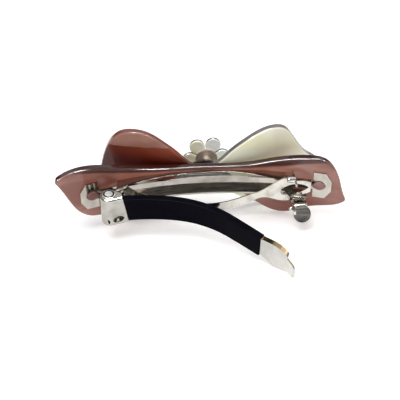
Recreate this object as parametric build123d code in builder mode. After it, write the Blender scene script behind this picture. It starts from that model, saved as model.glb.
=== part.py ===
from build123d import *
import math
import os

os.makedirs("parts", exist_ok=True)

# Bow barrette on a French clip, standing on its long edge with the clasp arm swung open.
# Clip frame: x along the clip, y away from the hair (0 on the clip's seat), z up the plate's width.

# ---------------------------- driving dimensions, mm
lean = 9.76  # how far the standing barrette leans onto its open arm, degrees
stand_height = 13.981  # clip centre line above the table
shift_x = 1.2
shift_y = 13.971

plate_radius = 115.0  # hair side of the acetate base plate
plate_thickness = 2.8
wing_radius = 91.0  # the bow wings curl away from the base plate
wing_thickness = 2.6

steel = 0.6  # sheet of the clip base
channel_half = 3.5
channel_depth = 3.4
channel_end = 28.4
neck_half = 1.6
tab_half = 4.7
tab_start = 34.6
tab_end = 40.2

hinge_x = -31.0
hinge_y = -13.4
hinge_tilt = 8.0  # the hinge pin leans towards the hair side, so the open arm droops, degrees
arm_open = 26.0  # degrees from closed to the rest pose
arm_rise = 32.9  # slope at which the closed arm leaves the hinge, degrees
arm_bends = ((20.0, 64.0), (20.0, 34.3), (26.0, 393.0))  # run and radius of each of its arcs
tab_bend = 20.0  # the lift tab turns outward past the arm's own curve, degrees
arm_sheet = 0.5
flange_depth = 1.6
web_depth = 1.7  # outer face of the arm beyond the arc through the hinge
root_half = 3.94  # half width of the arm at the sleeve's start
waist_half = 3.3  # and at its end
notch_half = 3.02
head_half = 5.6
head_radius = 2.9
sleeve_wall = 0.45
sleeve_start, sleeve_stop, notch_run = 4.8, 52.0, 62.5  # along the arm, from the hinge
start_slant = 0.6  # the sleeve starts this much earlier at its upper edge, later at its lower
pin_radius = 1.0
pin_clearance = 0.05

petal_count = 6
petal_ring = 5.4
petal_radius = 2.6
flower_x = 1.3
flower_z = 1.0
flower_y = 10.7

# ---------------------------- planes
tilt = math.radians(lean)
stance = Plane(
    origin=(shift_x, shift_y, stand_height),
    x_dir=(1, 0, 0),
    z_dir=(0, -math.sin(tilt), math.cos(tilt)),
)
# looks along the clip's depth; a positive extrusion goes to the hair side
outline = Plane(origin=stance.origin, x_dir=(1, 0, 0), z_dir=-stance.y_dir)
# the arm's own frame: origin on the hinge axis, x along the closed clip
pin_lean = math.radians(hinge_tilt)
pin_plane = Plane(
    origin=stance.from_local_coords((hinge_x, hinge_y, 0)),
    x_dir=(1, 0, 0),
    z_dir=stance.z_dir * math.cos(pin_lean) - stance.y_dir * math.sin(pin_lean),
)
pin_axis = Axis(pin_plane.origin, pin_plane.z_dir)
swing = math.radians(arm_open)
arm_plane = Plane(
    origin=pin_plane.origin,
    x_dir=pin_plane.x_dir * math.cos(swing) - pin_plane.y_dir * math.sin(swing),
    z_dir=pin_plane.z_dir,
)
arm_outline = Plane(origin=arm_plane.origin, x_dir=arm_plane.x_dir, z_dir=-arm_plane.y_dir)
depth = Axis(stance.origin, stance.y_dir)


def arm_course(run):
    """Side view of the arm: x, y and heading on the arc through the hinge, a given run from it."""
    x, y, heading = 0.0, 0.0, math.radians(arm_rise)
    for length, radius in arm_bends:
        turn = min(run, length) / radius
        x += radius * (math.sin(heading) - math.sin(heading - turn))
        y += radius * (math.cos(heading - turn) - math.cos(heading))
        heading -= turn
        run = max(run - length, 0.0)
    return x, y, heading


def arm_point(run, outward):
    x, y, heading = arm_course(run)
    return x + outward * math.sin(heading), y - outward * math.cos(heading)


def arm_x(run):
    return arm_point(run, web_depth)[0]


def arm_ribbon(start, stop, inner, outer):
    """Closed outline that follows the arm between two runs and two depths."""
    marks = [start, *[mark for mark in (20.0, 40.0) if start < mark < stop], stop]
    for side in (inner, outer):
        for first, last in zip(marks[:-1], marks[1:]):
            ThreePointArc(arm_point(first, side), arm_point((first + last) / 2, side), arm_point(last, side))
    Line(arm_point(start, inner), arm_point(start, outer))
    Line(arm_point(stop, inner), arm_point(stop, outer))


def slanted_end(run):
    """Outline of everything on the hinge side of a slanted cut across the arm."""
    lean_over = start_slant * 7 / (root_half + sleeve_wall)
    Polyline((-5, 7), (run - lean_over, 7), (run + lean_over, -7), (-5, -7), close=True)


# ---------------------------- curved sheets shared by several pieces
with BuildSketch(stance) as plate_band:
    with Locations((0, -plate_radius)):
        Circle(plate_radius + plate_thickness)
        Circle(plate_radius, mode=Mode.SUBTRACT)

with BuildSketch(stance) as wing_band:
    with Locations((0, plate_thickness + wing_radius)):
        Circle(wing_radius)
        Circle(wing_radius - wing_thickness, mode=Mode.SUBTRACT)

with BuildSketch(stance) as floor_band:
    with Locations((0, -plate_radius)):
        Circle(plate_radius)
        Circle(plate_radius - steel, mode=Mode.SUBTRACT)

with BuildSketch(stance) as channel_band:
    with Locations((0, -plate_radius)):
        Circle(plate_radius)
        Circle(plate_radius - channel_depth, mode=Mode.SUBTRACT)

with BuildSketch(stance) as channel_hollow:
    with Locations((0, -plate_radius)):
        Circle(plate_radius - steel)
        Circle(plate_radius - channel_depth - 5, mode=Mode.SUBTRACT)

# ---------------------------- acetate base plate, a flattened bow with ribbon tails
with BuildPart() as base_plate:
    with BuildSketch(outline) as plate_shape:
        with BuildLine():
            Spline(
                (-48.0, 7.9), (-42.7, 9.9), (-38.5, 10.0), (-33.3, 9.1), (-25.8, 7.2), (-17.8, 5.7),
                (-9.0, 4.9), (0, 4.7), (7.5, 4.7), (14.5, 5.4), (21.8, 7.2), (28.9, 8.8), (33.5, 9.4),
                (37.6, 9.2), (40.2, 7.6),
                (42.4, 4.0), (43.6, 0), (45.4, -4.9),
            )
            Spline(
                (45.4, -4.9), (42.5, -7.2), (36.5, -8.9), (32.5, -10.3), (28.6, -12.2), (25.0, -12.8),
                (21.3, -11.9), (17.0, -9.3), (12.9, -6.4), (8.0, -5.0), (0, -4.7), (-8.0, -5.0),
                (-12.9, -6.4), (-17.0, -9.3), (-21.3, -11.9), (-25.0, -12.8), (-28.6, -12.0), (-33.0, -9.3),
                (-37.3, -8.5), (-41.2, -5.7), (-43.7, -1.2), (-46.0, 4.2), (-48.0, 7.9),
            )
        make_face()
        fillet(plate_shape.vertices(), 1.1)
    extrude(amount=30, both=True)
    extrude(plate_band.sketch, amount=30, both=True, mode=Mode.INTERSECT)
    fillet(base_plate.edges(), 0.7)
base_plate.part.label = "base_plate"
export_step(base_plate.part, "parts/base_plate.step")

# ---------------------------- bow wings, one sheet each side of the knot
with BuildPart() as wing_left:
    with BuildSketch(outline) as left_shape:
        with BuildLine():
            Line((-0.15, -2.2), (-0.15, 2.2))
            Spline(
                (-0.15, 2.2), (-4.6, 3.9), (-8.0, 7.2), (-13.4, 11.8), (-18.6, 14.9), (-22.5, 15.5),
                (-26.3, 14.8), (-29.6, 12.1), (-32.1, 7.4), (-33.9, 1.0), (-34.3, -2.6), (-33.0, -8.0),
                (-29.6, -12.5),
                (-24.0, -15.2), (-18.6, -14.4), (-13.4, -11.4), (-8.0, -7.0), (-4.6, -3.9), (-0.15, -2.2),
            )
        make_face()
    extrude(amount=-30)
    extrude(wing_band.sketch, amount=30, both=True, mode=Mode.INTERSECT)
    left_faces = wing_left.faces().sort_by(Axis.X)
    fillet(left_faces[:-1].edges() - left_faces[-1].edges(), 0.6)
wing_left.part.label = "wing_left"
export_step(wing_left.part, "parts/wing_left.step")

with BuildPart() as wing_right:
    with BuildSketch(outline) as right_shape:
        with BuildLine():
            Line((0.15, -2.2), (0.15, 2.2))
            Spline(
                (0.15, 2.2), (4.2, 3.9), (8.6, 7.9), (13.2, 11.3), (18.6, 14.2), (22.6, 15.0), (26.4, 14.1),
                (30.2, 9.5), (32.6, 5.6), (35.1, 2.3), (38.0, -0.4), (40.6, -3.2),
            )
            Spline(
                (40.6, -3.2), (36.5, -7.2), (31.0, -12.6), (24.5, -15.2), (18.6, -14.2), (13.2, -11.3),
                (8.6, -7.7), (4.2, -3.9), (0.15, -2.2),
            )
        make_face()
        fillet(right_shape.vertices().sort_by(Axis.X)[-1], 1.0)
    extrude(amount=-30)
    extrude(wing_band.sketch, amount=30, both=True, mode=Mode.INTERSECT)
    right_faces = wing_right.faces().sort_by(Axis.X)
    fillet(right_faces[1:].edges() - right_faces[0].edges(), 0.6)
wing_right.part.label = "wing_right"
export_step(wing_right.part, "parts/wing_right.step")

# ---------------------------- domed knot over the joint of the two wings
knot_front = plate_thickness + wing_thickness + 2.4
with BuildPart() as knot_cap:
    with BuildSketch(outline.offset(-knot_front)):
        Ellipse(5.2, 3.5)
    extrude(amount=knot_front - plate_thickness - 0.4)
    fillet(knot_cap.faces().sort_by(depth)[-1].edges(), 1.9)
    with BuildSketch(stance):
        with Locations((0, plate_thickness + wing_radius)):
            Circle(wing_radius - wing_thickness)
    extrude(amount=20, both=True, mode=Mode.INTERSECT)
knot_cap.part.label = "knot_cap"
export_step(knot_cap.part, "parts/knot_cap.step")

# ---------------------------- pearl flower on the knot
flower_plane = Plane(
    origin=stance.from_local_coords((flower_x, flower_y, flower_z)),
    x_dir=(1, 0, 0),
    z_dir=stance.y_dir,
)
seat_thickness = 0.6
with BuildPart() as flower_seat:
    with BuildSketch(flower_plane.offset(-seat_thickness)):
        Circle(3.7)
    extrude(amount=seat_thickness)
    with BuildSketch(flower_plane.offset(-seat_thickness)):
        Circle(1.4)
    extrude(amount=-(flower_y - seat_thickness - knot_front))
flower_seat.part.label = "flower_seat"
export_step(flower_seat.part, "parts/flower_seat.step")

for number in range(petal_count):
    turn = math.radians(5 + number * 360 / petal_count)
    petal_plane = Plane(
        origin=flower_plane.origin,
        x_dir=flower_plane.x_dir * math.cos(turn) - flower_plane.y_dir * math.sin(turn),
        z_dir=flower_plane.z_dir,
    )
    with BuildPart() as petal:
        with BuildSketch(petal_plane):
            with Locations((petal_ring, 0)):
                Circle(petal_radius)
            with Locations((2.72, 0)):
                Circle(1.22)
            make_hull()
        extrude(amount=1.5)
        caps = petal.faces().sort_by(depth)
        fillet(caps[0].edges() + caps[-1].edges(), 0.5)
    petal.part.label = f"petal_{number + 1}"
    export_step(petal.part, f"parts/petal_{number + 1}.step")

with BuildPart() as flower_stone:
    with BuildSketch(flower_plane):
        Circle(1.4)
    extrude(amount=1.2)
    with BuildSketch(flower_plane.offset(1.5)):
        Circle(2.1)
    extrude(amount=1.1, taper=35)
    with BuildSketch(flower_plane.offset(1.2)):
        Circle(1.4)
    extrude(amount=0.3)
flower_stone.part.label = "flower_stone"
export_step(flower_stone.part, "parts/flower_stone.step")

# ---------------------------- clip base: a shallow channel with a tab at each end
with BuildPart() as base_floor:
    with BuildSketch(outline):
        Rectangle(2 * channel_end, 2 * channel_half)
        Rectangle(2 * tab_start + 1, 2 * neck_half)
        for way in (-1, 1):
            with BuildLine():
                Polyline(
                    (way * tab_start, -tab_half), (way * 38.4, -tab_half), (way * tab_end, -1.8),
                    (way * tab_end, 1.8), (way * 38.4, tab_half), (way * tab_start, tab_half), close=True,
                )
            make_face()
            with BuildLine():
                ThreePointArc((way * 34.3, 0), (way * 36.4, 1.75), (way * 38.5, 0))
                ThreePointArc((way * 38.5, 0), (way * 36.4, -1.75), (way * 34.3, 0))
            make_face(mode=Mode.SUBTRACT)
    extrude(amount=30, both=True)
    extrude(floor_band.sketch, amount=20, both=True, mode=Mode.INTERSECT)

with BuildPart() as clip_base:
    extrude(channel_band.sketch, amount=channel_half, both=True)
    extrude(channel_hollow.sketch, amount=channel_half - steel, both=True, mode=Mode.SUBTRACT)
    with BuildSketch(outline):
        Rectangle(2 * channel_end, 2 * channel_half)
        with Locations((channel_end, -channel_half)):
            Rectangle(4.0, steel, align=(Align.MIN, Align.MIN))
    extrude(amount=30, both=True, mode=Mode.INTERSECT)
    add(base_floor.part)
    for low in (channel_half - steel, -channel_half):
        ear_y = hinge_y - (low + steel / 2) * math.tan(pin_lean)
        with BuildSketch(stance.offset(low)):
            with BuildLine():
                Polyline(
                    (-28.4, -4.0), (-28.8, -8.0), (hinge_x - 1.5, ear_y + 0.6), (hinge_x + 1.2, ear_y - 0.6),
                    (hinge_x + 2.1, ear_y + 2.3), (-25.8, -8.2), (-24.6, -5.0), close=True,
                )
            make_face()
            with Locations((hinge_x, ear_y)):
                Circle(1.65)
        extrude(amount=steel)
    with BuildSketch(pin_plane.offset(-10)):
        Circle(pin_radius)
    extrude(amount=20, mode=Mode.SUBTRACT)
clip_base.part.label = "clip_base"
export_step(clip_base.part, "parts/clip_base.step")

# studs of the base plate's acetate, melted over inside the eye-shaped tab holes
for name, way in (("stake_left", -1), ("stake_right", 1)):
    with BuildPart() as stake:
        with BuildSketch(outline):
            with BuildLine():
                ThreePointArc((way * 34.5, 0), (way * 36.4, 1.6), (way * 38.3, 0))
                ThreePointArc((way * 38.3, 0), (way * 36.4, -1.6), (way * 34.5, 0))
            make_face()
        extrude(amount=30, both=True)
        with BuildSketch(stance):
            with Locations((0, -plate_radius)):
                Circle(plate_radius)
                Circle(plate_radius - 1.05, mode=Mode.SUBTRACT)
        extrude(amount=20, both=True, mode=Mode.INTERSECT)
        fillet(stake.faces().sort_by(depth)[0].edges(), 0.3)
    stake.part.label = name
    export_step(stake.part, f"parts/{name}.step")

# ---------------------------- hinge pin with a low round head at each end
with BuildPart() as hinge_pin:
    with BuildSketch(pin_plane):
        Circle(pin_radius)
    extrude(amount=head_half + 0.1, both=True)
    for way in (-1, 1):
        with BuildSketch(pin_plane.offset(way * (head_half + 0.05))):
            Circle(2.0)
        extrude(amount=way * 0.35)
        fillet(hinge_pin.faces().sort_by(pin_axis)[-1 if way > 0 else 0].edges(), 0.2)
        with BuildSketch(pin_plane.offset(way * (head_half + 0.25))):
            Circle(1.6)
            Circle(1.35, mode=Mode.SUBTRACT)
        extrude(amount=way * 0.3, mode=Mode.SUBTRACT)
hinge_pin.part.label = "hinge_pin"
export_step(hinge_pin.part, "parts/hinge_pin.step")

# ---------------------------- bowed tension spring with a leaf-shaped head
with BuildPart() as tension_spring:
    with BuildSketch(stance):
        with BuildLine():
            Spline(
                (-26.6, -5.6), (-23.0, -7.2), (-18.0, -9.8), (-10.0, -13.1), (-3.0, -15.2), (4.0, -15.0),
                (13.4, -11.4), (18.5, -9.1), (23.0, -8.0), (29.0, -7.4), (33.6, -7.0),
            )
        trace(line_width=0.4)
    extrude(amount=10, both=True)
    with BuildSketch(outline) as spring_plan:
        with BuildLine():
            Line((34.2, -1.4), (34.2, 1.4))
            Spline((34.2, 1.4), (32.2, 2.4), (28.4, 2.85))
            Line((28.4, 2.85), (26.9, 2.85))
            Line((26.9, 2.85), (26.9, 4.3))
            Spline((26.9, 4.3), (24.0, 4.1), (20.0, 2.3), (14.0, 1.35))
            Polyline(
                (14.0, 1.35), (-22.0, 1.3), (-25.0, 2.5), (-29.0, 2.5),
                (-29.0, -2.5), (-25.0, -2.5), (-22.0, -1.6), (14.0, -1.7),
            )
            Spline((14.0, -1.7), (20.0, -2.3), (24.0, -4.1), (26.9, -4.3))
            Line((26.9, -4.3), (26.9, -2.85))
            Line((26.9, -2.85), (28.4, -2.85))
            Spline((28.4, -2.85), (32.2, -2.4), (34.2, -1.4))
        make_face()
        with BuildLine():
            ThreePointArc((23.6, 0), (28.3, 1.8), (33.0, 0))
            ThreePointArc((33.0, 0), (28.3, -1.8), (23.6, 0))
        make_face(mode=Mode.SUBTRACT)
    extrude(amount=40, both=True, mode=Mode.INTERSECT)
tension_spring.part.label = "tension_spring"
export_step(tension_spring.part, "parts/tension_spring.step")

# ---------------------------- clasp arm: flanged strip, hinge head, arrow tip, lift tab
strip_inner = web_depth - flange_depth
waist_x = arm_point(sleeve_stop, -0.5)[0] + 0.1
with BuildPart() as arm_strip:
    with BuildSketch(arm_outline):
        with BuildLine():
            Polyline(
                (waist_x, waist_half + 0.3), (waist_x, waist_half),
                (arm_x(sleeve_start), root_half), (0, root_half), (0, -root_half),
                (arm_x(sleeve_start), -root_half),
                (waist_x, -waist_half), (waist_x, -waist_half - 0.3),
            )
            Spline(
                (waist_x, waist_half + 0.3), (arm_x(56.3), 4.15), (arm_x(59.8), 4.2),
                (arm_x(61.9), notch_half + 0.4),
            )
            Polyline(
                (arm_x(61.9), notch_half + 0.4), (arm_x(notch_run), notch_half),
                (arm_x(notch_run), -notch_half), (arm_x(61.9), -notch_half - 0.4),
            )
            Spline(
                (arm_x(61.9), -notch_half - 0.4), (arm_x(59.8), -4.2), (arm_x(56.3), -4.15),
                (waist_x, -waist_half - 0.3),
            )
        make_face()
    extrude(amount=40, both=True)
    with BuildSketch(arm_plane):
        with BuildLine():
            arm_ribbon(3.0, 64.8, strip_inner, web_depth)
        make_face()
    extrude(amount=10, both=True, mode=Mode.INTERSECT)

with BuildPart() as arm_hollow:
    with BuildSketch(arm_outline):
        with BuildLine():
            Polyline(
                (arm_x(53.2), waist_half), (arm_x(sleeve_stop), waist_half - arm_sheet),
                (arm_x(sleeve_start), root_half - arm_sheet), (-2, root_half - arm_sheet),
                (-2, arm_sheet - root_half), (arm_x(sleeve_start), arm_sheet - root_half),
                (arm_x(sleeve_stop), arm_sheet - waist_half), (arm_x(53.2), -waist_half),
            )
            Spline((arm_x(53.2), waist_half), (arm_x(56.3), 3.65), (arm_x(59.5), 3.7), (arm_x(61.7), 2.6))
            Line((arm_x(61.7), 2.6), (arm_x(61.7), -2.6))
            Spline((arm_x(61.7), -2.6), (arm_x(59.5), -3.7), (arm_x(56.3), -3.65), (arm_x(53.2), -waist_half))
        make_face()
    extrude(amount=40, both=True)
    with BuildSketch(arm_plane):
        with BuildLine():
            arm_ribbon(1.0, 64.8, -2.0, web_depth - arm_sheet)
        make_face()
    extrude(amount=10, both=True, mode=Mode.INTERSECT)

tab_root = arm_point(notch_run - 0.3, web_depth - arm_sheet / 2)
tab_angle = arm_course(notch_run)[2] - math.radians(tab_bend)
tab_direction = arm_plane.x_dir * math.cos(tab_angle) + arm_plane.y_dir * math.sin(tab_angle)
tab_face = Plane(
    origin=arm_plane.from_local_coords((tab_root[0], tab_root[1], 0)),
    x_dir=tab_direction,
    z_dir=tab_direction.cross(arm_plane.z_dir),
)
with BuildPart() as lift_tab:
    with BuildSketch(tab_face.offset(-arm_sheet / 2)):
        with Locations((1.3, 0)):
            Rectangle(3.2, 4.6)
        with Locations((2.9, 0)):
            RectangleRounded(2.6, 4.6, 1.25)
    extrude(amount=arm_sheet)

# the head's frame follows the arm's own direction at the hinge
rise = math.radians(arm_rise)
head_plane = Plane(
    origin=arm_plane.origin,
    x_dir=arm_plane.x_dir * math.cos(rise) + arm_plane.y_dir * math.sin(rise),
    z_dir=pin_plane.z_dir,
)
head_outline = Plane(origin=head_plane.origin, x_dir=head_plane.x_dir, z_dir=-head_plane.y_dir)
with BuildPart() as hinge_head:
    with BuildSketch(head_plane):
        Circle(head_radius)
        with Locations((4.4, -1.1)):
            Rectangle(2.8, 1.8)
        make_hull()
    extrude(amount=head_half, both=True)
    fillet(hinge_head.faces().sort_by(pin_axis)[0].edges(), 0.8)
    fillet(hinge_head.faces().sort_by(pin_axis)[-1].edges(), 0.8)
    # the end next to the sleeve is cut on the same slant as the sleeve
    with BuildSketch(head_outline):
        with BuildLine():
            slanted_end(sleeve_start - 0.1)
        make_face()
    extrude(amount=20, both=True, mode=Mode.INTERSECT)

with BuildPart() as head_hollow:
    with BuildSketch(head_plane):
        Circle(head_radius - arm_sheet)
        with Locations((4.5, -0.7)):
            Rectangle(6.0, 1.6)
        make_hull()
    with BuildSketch(head_plane):
        with Locations((1.5, 2.5)):
            Rectangle(12.0, 4.8)
    extrude(amount=head_half - arm_sheet, both=True)

with BuildPart() as clasp_arm:
    add(arm_strip.part)
    add(arm_hollow.part, mode=Mode.SUBTRACT)
    add(lift_tab.part)
    add(hinge_head.part)
    add(head_hollow.part, mode=Mode.SUBTRACT)
    with BuildSketch(head_plane.offset(-10)):
        Circle(pin_radius + pin_clearance)
    extrude(amount=20, mode=Mode.SUBTRACT)
    # leaf-shaped relief and a smaller crescent pressed through the lower bend of the head
    with BuildSketch(head_outline.offset(1.6)):
        with BuildLine():
            ThreePointArc((0.4, -3.1), (2.0, -1.7), (4.2, -2.9))
            ThreePointArc((4.2, -2.9), (2.2, -4.3), (0.4, -3.1))
        make_face()
        with BuildLine():
            ThreePointArc((-1.2, -2.4), (-0.4, -3.3), (-0.9, -4.5))
            ThreePointArc((-0.9, -4.5), (-1.1, -3.4), (-1.2, -2.4))
        make_face()
    extrude(amount=3, mode=Mode.SUBTRACT)
clasp_arm.part.label = "clasp_arm"
export_step(clasp_arm.part, "parts/clasp_arm.step")

# ---------------------------- rubber sleeve over the middle of the arm
with BuildPart() as sleeve_bore:
    with BuildSketch(arm_outline):
        with BuildLine():
            Polyline(
                (0, root_half), (arm_x(sleeve_start), root_half), (waist_x, waist_half),
                (arm_x(56.1), waist_half), (arm_x(56.1), -waist_half), (waist_x, -waist_half),
                (arm_x(sleeve_start), -root_half), (0, -root_half), close=True,
            )
        make_face()
    extrude(amount=40, both=True)
    with BuildSketch(arm_plane):
        with BuildLine():
            arm_ribbon(3.0, 56.1, strip_inner, web_depth)
        make_face()
    extrude(amount=10, both=True, mode=Mode.INTERSECT)

with BuildPart() as arm_sleeve:
    with BuildSketch(arm_outline):
        with BuildLine():
            Polyline(
                (arm_x(sleeve_start) - 4, root_half + sleeve_wall + 0.1),
                (arm_x(sleeve_stop) + 2, waist_half + sleeve_wall - 0.05),
                (arm_x(sleeve_stop) + 2, 0.05 - waist_half - sleeve_wall),
                (arm_x(sleeve_start) - 4, -root_half - sleeve_wall - 0.1), close=True,
            )
        make_face()
    extrude(amount=40, both=True)
    with BuildSketch(arm_plane):
        with BuildLine():
            arm_ribbon(3.6, sleeve_stop, strip_inner - sleeve_wall, web_depth + sleeve_wall)
        make_face()
    extrude(amount=10, both=True, mode=Mode.INTERSECT)
    fillet(arm_sleeve.edges().filter_by(lambda edge: edge.length > 10), 0.35)
    add(sleeve_bore.part, mode=Mode.SUBTRACT)
    with BuildSketch(head_outline):
        with BuildLine():
            slanted_end(sleeve_start)
        make_face()
    extrude(amount=20, both=True, mode=Mode.SUBTRACT)
arm_sleeve.part.label = "arm_sleeve"
export_step(arm_sleeve.part, "parts/arm_sleeve.step")

# ---------------------------- catch: fixed upper post, sprung lower thumb lever
with BuildPart() as catch_post:
    with BuildSketch(stance.offset(channel_half)):
        with BuildLine():
            Polyline((25.6, -3.6), (25.6, -6.0), (28.2, -6.4), (28.2, -4.0), close=True)
        make_face()
    extrude(amount=0.4)
    with BuildSketch(stance.offset(channel_half)):
        with BuildLine():
            Polyline((27.7, -4.0), (27.7, -11.6), (28.2, -12.0), (28.2, -4.0), close=True)
        make_face()
    extrude(amount=1.1)
    knob_plane = Plane(
        origin=stance.from_local_coords((25.3, -9.3, 4.7)), x_dir=stance.y_dir, z_dir=(1, 0, 0)
    )
    with BuildSketch(knob_plane):
        Circle(1.05)
    extrude(amount=2.6)
    fillet(catch_post.faces().sort_by(Axis.X)[0].edges(), 0.6)
catch_post.part.label = "catch_post"
export_step(catch_post.part, "parts/catch_post.step")

pivot_y, pivot_z = -6.0, -4.15
# section across the clip: x of these sketches is the clip's depth, y its width
lever_left = Plane(origin=stance.from_local_coords((27.9, 0, 0)), x_dir=stance.y_dir, z_dir=(1, 0, 0))
with BuildPart() as lever_pin:
    with BuildSketch(lever_left.offset(-0.2)):
        with Locations((pivot_y, pivot_z)):
            Circle(0.65)
    extrude(amount=4.6)
lever_pin.part.label = "lever_pin"
export_step(lever_pin.part, "parts/lever_pin.step")

disc_plane = Plane(
    origin=stance.from_local_coords((29.9, -13.8, -5.6)),
    x_dir=(1, 0, 0),
    z_dir=stance.y_dir * -0.8 + stance.z_dir * 0.6,
)
with BuildPart() as catch_lever:
    with BuildSketch(lever_left):
        with BuildLine():
            Spline((pivot_y, pivot_z - 0.9), (-8.4, -4.5), (-10.6, -4.35), (-12.4, -5.0), (-13.6, -5.6))
        trace(line_width=0.4)
    extrude(amount=4.2)
    with BuildSketch(lever_left):
        with Locations((pivot_y, pivot_z)):
            Circle(1.1)
            Circle(0.7, mode=Mode.SUBTRACT)
            with Locations((0, 1.0)):
                Rectangle(3, 2.0, mode=Mode.SUBTRACT)
    extrude(amount=4.2)
    with BuildSketch(lever_left.offset(-0.8)):
        with BuildLine():
            Polyline(
                (-5.4, -4.9), (-5.4, -5.3), (-14.6, -5.3), (-14.4, -4.2), (-8.0, -3.75), (-7.3, -4.9),
                close=True,
            )
        make_face()
    extrude(amount=0.8)
    with Locations(stance.from_local_coords((26.6, -12.2, -4.5))):
        Sphere(0.7)
    with BuildSketch(disc_plane):
        Circle(2.55)
    extrude(amount=0.5)
    with BuildSketch(disc_plane):
        Circle(2.85)
        Circle(2.35, mode=Mode.SUBTRACT)
    extrude(amount=0.75)
catch_lever.part.label = "catch_lever"
export_step(catch_lever.part, "parts/catch_lever.step")
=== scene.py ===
import bpy
import bmesh
import math
from mathutils import Matrix, Vector

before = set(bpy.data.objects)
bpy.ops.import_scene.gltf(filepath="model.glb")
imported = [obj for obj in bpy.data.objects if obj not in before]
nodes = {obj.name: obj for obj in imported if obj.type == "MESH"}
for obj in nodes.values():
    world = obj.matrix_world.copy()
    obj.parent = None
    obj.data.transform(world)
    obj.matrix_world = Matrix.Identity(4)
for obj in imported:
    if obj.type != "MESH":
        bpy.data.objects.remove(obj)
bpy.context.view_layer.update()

# The clip's own frame, in millimetres: x along the clip, y away from the hair, z up the plate's width.
LEAN = math.radians(9.76)
STAND = Vector((0.0012, 0.013971, 0.013981))
MM = 0.001
TURN = Matrix.Rotation(LEAN, 4, "X")
DEPTH = TURN.to_3x3() @ Vector((0, 1, 0))

# The hinge pin's axis passes through this point of the clip's frame, and leans by this much y per z.
HINGE_X, HINGE_Y, HINGE_SLOPE = -31.0, -13.4, 0.1405

# The camera, seen from the clip's frame: where it aims, how far off it stands, and its angles in degrees.
AIM = Vector((-1.68918, 0, -8.374785))
DISTANCE = 283.179
AZIMUTH, ELEVATION = -4.5, 36.0
LENS = 76.5
FLOOR_HALF = 4.0


def row(x, y, z):
    """A point of the clip's frame, in the row frame, in metres."""
    return TURN @ Vector((x, y, z)) * MM + STAND


def rgb(r, g, b):
    """An sRGB colour in 0 to 255 as linear RGBA."""
    levels = (r / 255, g / 255, b / 255)
    return tuple(((v + 0.055) / 1.055) ** 2.4 if v > 10 / 255 else v / 12.92 for v in levels) + (1.0,)


# ------------------------------------------------------------------ material helpers
class Look:
    """A Principled material with the clip frame's millimetre coordinates at hand."""

    def __init__(self, name, **values):
        self.mat = bpy.data.materials.new(name)
        self.mat.use_nodes = True
        self.tree = self.mat.node_tree
        self.bsdf = self.tree.nodes["Principled BSDF"]
        self.coords = self.add("ShaderNodeTexCoord")
        place = self.add("ShaderNodeMapping")
        place.vector_type = "TEXTURE"
        place.inputs["Location"].default_value = STAND
        place.inputs["Rotation"].default_value = (LEAN, 0, 0)
        place.inputs["Scale"].default_value = (MM, MM, MM)
        self.join(self.coords.outputs["Object"], place.inputs["Vector"])
        self.mm = place.outputs["Vector"]
        for key, value in values.items():
            self.bsdf.inputs[key.replace("_", " ")].default_value = value

    def add(self, kind):
        return self.tree.nodes.new(kind)

    def join(self, out, into):
        self.tree.links.new(out, into)

    def put(self, value, socket):
        if isinstance(value, bpy.types.NodeSocket):
            self.join(value, socket)
        else:
            socket.default_value = value

    def stretch(self, sx, sy, sz):
        n = self.add("ShaderNodeMapping")
        n.inputs["Scale"].default_value = (sx, sy, sz)
        self.join(self.mm, n.inputs["Vector"])
        return n.outputs["Vector"]

    def noise(self, scale, detail=3.0, rough=0.5, warp=0.0, at=None):
        n = self.add("ShaderNodeTexNoise")
        n.inputs["Scale"].default_value = scale
        n.inputs["Detail"].default_value = detail
        n.inputs["Roughness"].default_value = rough
        n.inputs["Distortion"].default_value = warp
        self.join(at or self.mm, n.inputs["Vector"])
        return n.outputs["Fac"]

    def axis(self, name):
        n = self.add("ShaderNodeSeparateXYZ")
        self.join(self.mm, n.inputs[0])
        return n.outputs[name]

    def math(self, op, a, b=0.0, c=0.0):
        n = self.add("ShaderNodeMath")
        n.operation = op
        for value, socket in zip((a, b, c), n.inputs):
            self.put(value, socket)
        return n.outputs[0]

    def times(self, a, b):
        return self.math("MULTIPLY", a, b)

    def band(self, value, low, high, to_low=0.0, to_high=1.0):
        """A smooth step from to_low to to_high, as the value goes from low to high."""
        n = self.add("ShaderNodeMapRange")
        n.interpolation_type = "SMOOTHSTEP"
        for v, socket in zip((value, low, high, to_low, to_high), n.inputs):
            self.put(v, socket)
        return n.outputs[0]

    def mix(self, factor, a, b, how="MIX"):
        n = self.add("ShaderNodeMix")
        n.data_type = "RGBA"
        n.blend_type = how
        self.put(factor, n.inputs[0])
        self.put(a, n.inputs[6])
        self.put(b, n.inputs[7])
        return n.outputs[2]

    def facing(self, direction):
        """How squarely the surface faces along a direction of the row frame, 0 on an edge."""
        n = self.add("ShaderNodeVectorMath")
        n.operation = "DOT_PRODUCT"
        self.join(self.coords.outputs["Normal"], n.inputs[0])
        n.inputs[1].default_value = direction
        return self.math("ABSOLUTE", n.outputs["Value"])

    def bump(self, height, strength, distance=0.0002):
        n = self.add("ShaderNodeBump")
        n.inputs["Strength"].default_value = strength
        n.inputs["Distance"].default_value = distance
        self.join(height, n.inputs["Height"])
        self.join(n.outputs["Normal"], self.bsdf.inputs["Normal"])

    def color(self, value):
        self.put(value, self.bsdf.inputs["Base Color"])

    def over(self, factor, value):
        """Lay another colour over the one that the material has so far."""
        self.color(self.mix(factor, self.bsdf.inputs["Base Color"].links[0].from_socket, value))

    def rough(self, value):
        self.put(value, self.bsdf.inputs["Roughness"])


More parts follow.
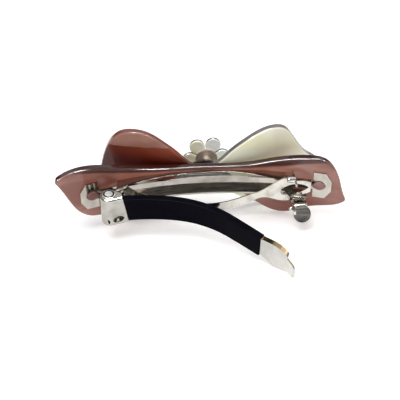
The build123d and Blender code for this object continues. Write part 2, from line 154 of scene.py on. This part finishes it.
def acetate(name, light, deep, rim, veil_low, veil_high):
    """Polished laminated sheet: cloudy veils along its length, a deeper colour seen through its edges."""
    m = Look(name, Coat_Weight=0.6, Coat_Roughness=0.02, IOR=1.46, Specular_IOR_Level=0.3)
    veils = m.noise(1.0, 2, 0.45, 0.4, m.stretch(0.03, 0.08, 0.13))
    fine = m.noise(1.0, 2, 0.5, 0.2, m.stretch(0.08, 0.3, 0.5))
    cloud = m.math("MULTIPLY_ADD", fine, 0.15, veils)
    base = m.mix(m.band(cloud, veil_low, veil_high), deep, light)
    edge = m.band(m.facing(DEPTH), 0.25, 0.85)
    m.color(m.mix(edge, rim, base))
    m.rough(m.band(fine, 0.3, 0.7, 0.16, 0.26))
    m.bump(m.noise(1.0, 2, 0.5, 0.2, m.stretch(0.2, 0.14, 0.14)), 0.4, 0.0005)
    return m


NICKEL, NICKEL_DULL = (0.66, 0.65, 0.62, 1), (0.48, 0.46, 0.42, 1)


def nickel(name, tone=NICKEL, dull=NICKEL_DULL, low=0.04, high=0.1, stretch=(0.05, 0.7, 0.7)):
    """Bright plate, drawn along x, between a fresh and a duller tone and between two roughnesses."""
    m = Look(name, Metallic=1.0, Specular_IOR_Level=0.5)
    drawn = m.noise(1.0, 4, 0.6, 0.4, m.stretch(*stretch))
    spots = m.noise(0.25, 2, 0.5)
    m.color(m.mix(m.band(spots, 0.4, 0.7), tone, dull))
    m.rough(m.band(drawn, 0.3, 0.7, low, high))
    m.bump(drawn, 0.12, 0.0002)
    return m


# ------------------------------------------------------------------ materials
plate = acetate("mauve_sheet", rgb(164, 118, 106), rgb(130, 78, 66), rgb(66, 26, 22), 0.42, 0.70)
across, up_plate = plate.axis("X"), plate.axis("Z")
low_lobe = plate.times(plate.band(across, 12, 30), plate.band(up_plate, -4.5, -8.0))
plate.over(plate.times(low_lobe, 0.8), rgb(120, 56, 44))
plate.over(plate.times(plate.band(across, 20, 42), 0.4), rgb(130, 84, 72))
# a darker strip follows the plate's bowed upper edge
bow = plate.math("MULTIPLY_ADD", plate.times(across, across), -0.0034, up_plate)
strip = plate.band(plate.math("MULTIPLY_ADD", plate.noise(0.12, 3), 0.8, bow), 3.4, 4.5)
plate.over(plate.times(strip, 0.9), rgb(54, 22, 18))

# the left wing: milky mauve above a wavy border; below it, painted shade and a painted reflection of the base
# plate, red-brown and darker towards the bottom
wing_l = acetate("mauve_brown_sheet", rgb(168, 126, 112), rgb(148, 102, 88), rgb(124, 68, 56), 0.42, 0.72)
wing_l.bsdf.inputs["Coat Weight"].default_value = 0.4
shade_border = wing_l.math("MULTIPLY_ADD", wing_l.noise(0.09, 2), 2.4, wing_l.axis("Z"))
deep = wing_l.mix(wing_l.band(wing_l.axis("X"), -32, -8), rgb(100, 30, 10), rgb(140, 66, 46))
painted_shade_below = wing_l.mix(wing_l.band(wing_l.axis("Z"), 9.5, 3.5), deep, rgb(74, 16, 4))
# lay the painted shade and reflection below the wavy border
wing_l.over(wing_l.band(shade_border, 11.5, 10.9), painted_shade_below)

wing_r = acetate("pearl_sheet", rgb(254, 253, 236), rgb(248, 247, 212), rgb(112, 104, 106), 0.42, 0.74)
tint = wing_r.band(wing_r.noise(0.07, 3, 0.5, 0.5), 0.5, 0.7)
wing_r.over(wing_r.times(tint, 0.15), rgb(226, 206, 196))

knot = acetate("knot_sheet", rgb(72, 38, 30), rgb(34, 14, 12), rgb(28, 12, 10), 0.45, 0.75)

clip = nickel("nickel")
spring = nickel("spring_strip", (0.60, 0.58, 0.53, 1), (0.44, 0.42, 0.37, 1), 0.06, 0.14, (0.08, 0.9, 0.9))
channel = nickel("channel_nickel", (0.47, 0.44, 0.40, 1), (0.36, 0.33, 0.29, 1), 0.03, 0.1, (0.05, 1.1, 1.1))
lever = nickel("lever_nickel", (0.60, 0.57, 0.54, 1), (0.46, 0.43, 0.40, 1), 0.05, 0.12)
seat_metal = nickel("seat_nickel", (0.36, 0.31, 0.26, 1), (0.26, 0.22, 0.18, 1), 0.45, 0.6)

# the arm's metal is painted brighter at its arrow tip, a painted highlight, and its upper flange there is painted
# brassy, a painted reflection of the warm surroundings
arm_metal = nickel("arm_nickel", (0.45, 0.44, 0.40, 1), (0.34, 0.33, 0.29, 1), 0.06, 0.14, (0.15, 0.4, 0.4))
painted_tip_light = arm_metal.band(arm_metal.axis("X"), 8.0, 14.0)
# painted highlight on the arrow tip
arm_metal.over(painted_tip_light, arm_metal.mix(arm_metal.noise(0.5, 2), rgb(176, 175, 170), rgb(206, 204, 199)))
# painted reflection: the tip's upward-facing flange tinted brassy
arm_metal.over(arm_metal.times(painted_tip_light, arm_metal.band(arm_metal.facing((0, 0, 1)), 0.55, 0.85)), rgb(150, 130, 96))

# the hinge pin's heads: a dark groove round a bright disc
pin_metal = nickel("pin_nickel", (0.72, 0.71, 0.68, 1), (0.55, 0.53, 0.49, 1))
off_x = pin_metal.math("ADD", pin_metal.axis("X"), -HINGE_X)
leaning_y = pin_metal.math("MULTIPLY_ADD", pin_metal.axis("Z"), HINGE_SLOPE, pin_metal.axis("Y"))
off_y = pin_metal.math("ADD", leaning_y, -HINGE_Y)
squares = pin_metal.math("ADD", pin_metal.times(off_x, off_x), pin_metal.times(off_y, off_y))
radial = pin_metal.math("SQRT", squares)
groove = pin_metal.times(pin_metal.band(radial, 1.15, 1.35), pin_metal.band(radial, 1.85, 1.65))
pin_metal.over(groove, rgb(34, 28, 26))

rubber = Look("black_sleeve", Specular_IOR_Level=0.04, IOR=1.3)
dust = rubber.noise(0.35, 5, 0.6, 0.5)
rubber.color(rubber.mix(rubber.band(dust, 0.35, 0.75), rgb(4, 4, 12), rgb(8, 8, 18)))
rubber.rough(rubber.band(dust, 0.3, 0.7, 0.34, 0.48))
rubber.bump(rubber.noise(2.2, 4, 0.6), 0.15, 0.0001)

# the petals turn from cream to bluish along x, with a dark rim
petal = Look("pearl_petal", Coat_Weight=0.8, Coat_Roughness=0.08, IOR=1.5)
hue = petal.band(petal.math("MULTIPLY_ADD", petal.noise(0.3, 2), 3.0, petal.axis("X")), -1.5, 5.5)
lustre = petal.noise(0.8, 3, 0.5, 1.5)
pearl = petal.mix(hue, rgb(250, 247, 212), rgb(232, 238, 242))
pearl = petal.mix(petal.times(petal.band(lustre, 0.45, 0.65), 0.5), pearl, rgb(244, 240, 232))
petal.color(petal.mix(petal.band(petal.facing(DEPTH), 0.05, 0.55), rgb(70, 62, 54), pearl))
petal.rough(petal.band(lustre, 0.3, 0.7, 0.18, 0.32))
petal.bump(lustre, 0.2, 0.0002)

gem = Look("clear_stone", Coat_Weight=1.0, Coat_Roughness=0.02, IOR=1.6, Transmission_Weight=0.25)
gem.color(gem.mix(gem.noise(1.6, 2), rgb(214, 216, 214), rgb(248, 246, 238)))
gem.rough(gem.band(gem.noise(2.0, 1), 0.3, 0.7, 0.04, 0.12))

stud = acetate("melted_stud", rgb(168, 122, 116), rgb(126, 84, 80), rgb(110, 66, 60), 0.4, 0.8)
stud.bump(stud.noise(1.3, 4, 0.6, 1.0), 0.9, 0.0006)

look_of = {
    "base_plate": plate, "wing_left": wing_l, "wing_right": wing_r, "knot_cap": knot, "flower_seat": seat_metal,
    "flower_stone": gem, "clip_base": channel, "stake_left": stud, "stake_right": stud, "hinge_pin": pin_metal,
    "tension_spring": spring, "clasp_arm": arm_metal, "arm_sleeve": rubber, "catch_post": clip, "lever_pin": clip,
    "catch_lever": lever,
}
for number in range(1, 7):
    look_of[f"petal_{number}"] = petal
for name, look in look_of.items():
    mesh = nodes[name].data
    mesh.materials.clear()
    mesh.materials.append(look.mat)

# ------------------------------------------------------------------ floor, light, camera
floor_mesh = bpy.data.meshes.new("floor")
work = bmesh.new()
bmesh.ops.create_grid(work, x_segments=2, y_segments=2, size=FLOOR_HALF)
work.to_mesh(floor_mesh)
work.free()
floor = bpy.data.objects.new("floor", floor_mesh)
bpy.context.scene.collection.objects.link(floor)
white = Look("floor_paper", Roughness=0.7, Emission_Color=(1, 1, 1, 1), Emission_Strength=0.3)
white.color(white.mix(white.noise(0.02, 2), rgb(250, 250, 251), rgb(252, 252, 252)))
floor_mesh.materials.append(white.mat)

# the surround, by height: pale paper below, then soft boxes with dark flags between them
world = bpy.data.worlds.new("studio")
bpy.context.scene.world = world
world.use_nodes = True
tree = world.node_tree
back = tree.nodes["Background"]
back.inputs["Strength"].default_value = 0.7
where = tree.nodes.new("ShaderNodeTexCoord")
split = tree.nodes.new("ShaderNodeSeparateXYZ")
up = tree.nodes.new("ShaderNodeMapRange")
up.inputs[1].default_value = -0.2
up.inputs[2].default_value = 1.0
ramp = tree.nodes.new("ShaderNodeValToRGB")
tree.links.new(where.outputs["Generated"], split.inputs[0])
tree.links.new(split.outputs["Z"], up.inputs[0])
tree.links.new(up.outputs[0], ramp.inputs["Fac"])
tree.links.new(ramp.outputs["Color"], back.inputs["Color"])
stops = (
    (0.0, 0.9), (0.2, 0.85), (0.3, 0.06), (0.52, 0.06), (0.58, 1.1),
    (0.72, 1.2), (0.75, 0.04), (0.87, 0.04), (0.9, 1.7), (1.0, 1.7),
)
elements = ramp.color_ramp.elements
while len(elements) < len(stops):
    elements.new(0.5)
for element, (position, level) in zip(elements, stops):
    element.position = position
    element.color = (level, level, level, 1)


def lamp(name, at, size, power):
    """A soft box that faces the barrette."""
    data = bpy.data.lights.new(name, "AREA")
    data.shape = "RECTANGLE"
    data.size, data.size_y = size
    data.energy = power
    lamp_object = bpy.data.objects.new(name, data)
    bpy.context.scene.collection.objects.link(lamp_object)
    lamp_object.location = at
    lamp_object.rotation_euler = (Vector((0, 0, 0.01)) - Vector(at)).to_track_quat("-Z", "Y").to_euler()
    return lamp_object


lamp("key", (-0.25, -0.35, 0.75), (0.5, 0.35), 3.3)
lamp("fill", (0.45, 0.2, 0.5), (0.4, 0.4), 1.1)
# small boxes that only show as highlights
for number, (at, size, power) in enumerate((
    ((-0.30, -0.45, 0.62), (0.16, 0.10), 9.0),
    ((0.28, -0.40, 0.70), (0.16, 0.10), 9.0),
    ((0.02, -0.10, 0.80), (0.22, 0.08), 7.0),
)):
    lamp(f"sparkle_{number}", at, size, power).visible_diffuse = False

azimuth, elevation = math.radians(AZIMUTH), math.radians(ELEVATION)
reach = math.cos(elevation)
toward = Vector((math.sin(azimuth) * reach, -math.cos(azimuth) * reach, math.sin(elevation)))
eye = row(*(AIM + toward * DISTANCE))
turn = TURN.to_3x3()
out = turn @ toward
right = (turn @ (-toward).cross(Vector((0, 0, 1)))).normalized()
top = right.cross(-out)
camera_data = bpy.data.cameras.new("camera")
camera_data.sensor_width = 36
camera_data.lens = LENS
camera_data.clip_start = 0.01
camera = bpy.data.objects.new("camera", camera_data)
camera.matrix_world = Matrix.Translation(eye) @ Matrix((right, top, out)).transposed().to_4x4()
bpy.context.scene.collection.objects.link(camera)
bpy.context.scene.camera = camera
bpy.context.scene.view_settings.view_transform = "Standard"
